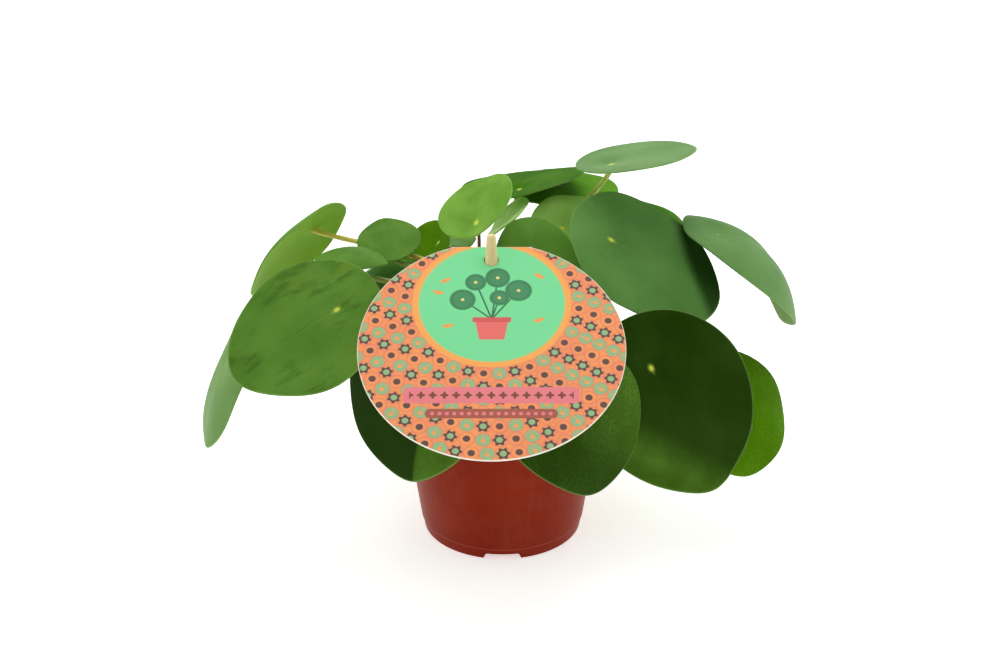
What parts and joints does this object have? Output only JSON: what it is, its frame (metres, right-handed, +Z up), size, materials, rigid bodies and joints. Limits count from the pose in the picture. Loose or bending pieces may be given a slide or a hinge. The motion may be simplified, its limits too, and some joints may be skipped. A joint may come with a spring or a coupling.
{
  "type": "potted chinese money plant",
  "caption": "Money plant with round blades on long stalks about a short woody stem, in a tapered plastic nursery pot, with a round card held up on a wooden peg.",
  "frame": {"origin": "middle of the pot's base, on the surface that it stands on", "axes": "+Z up, -Y to the front, which the card faces, and +X to the right as seen from there"},
  "size_m": [0.2816, 0.2338, 0.1833],
  "materials": {
    "pot": "satin",
    "soil": "matte",
    "stem": "matte",
    "peg": "matte",
    "card": "satin",
    "leaf": "satin",
    "stalk": "satin"
  },
  "bodies": {
    "root": {"pot": "pot", "soil": "soil", "stem": "stem", "peg": "peg", "card": "card", "blade_left_folded": "leaf", "stalk_left_folded": "stalk", "blade_left_big": "leaf", "stalk_left_big": "stalk", "blade_left_hanging": "leaf", "stalk_left_hanging": "stalk", "blade_left_small": "leaf", "stalk_left_small": "stalk", "blade_left_under": "leaf", "stalk_left_under": "stalk", "blade_middle_small": "leaf", "stalk_middle_small": "stalk", "blade_middle_dark": "leaf", "stalk_middle_dark": "stalk", "blade_middle_back": "leaf", "stalk_middle_back": "stalk", "blade_top_young": "leaf", "stalk_top_young": "stalk", "blade_top_narrow": "leaf", "stalk_top_narrow": "stalk", "blade_top_middle": "leaf", "stalk_top_middle": "stalk", "blade_top_dark": "leaf", "stalk_top_dark": "stalk", "blade_top_right": "leaf", "stalk_top_right": "stalk", "blade_right_middle": "leaf", "stalk_right_middle": "stalk", "blade_behind_card": "leaf", "stalk_behind_card": "stalk", "blade_right_big": "leaf", "stalk_right_big": "stalk", "blade_right_back": "leaf", "stalk_right_back": "stalk", "blade_right_outer": "leaf", "stalk_right_outer": "stalk", "blade_right_dark": "leaf", "stalk_right_dark": "stalk", "blade_right_bright": "leaf", "stalk_right_bright": "stalk", "blade_front_right": "leaf", "stalk_front_right": "stalk", "blade_front_left": "leaf", "stalk_front_left": "stalk", "blade_back_right": "leaf", "stalk_back_right": "stalk", "blade_back_middle": "leaf", "stalk_back_middle": "stalk", "blade_back_left": "leaf", "stalk_back_left": "stalk", "blade_back_low_right": "leaf", "stalk_back_low_right": "stalk", "blade_back_low_left": "leaf", "stalk_back_low_left": "stalk"}
  },
  "joints": []
}
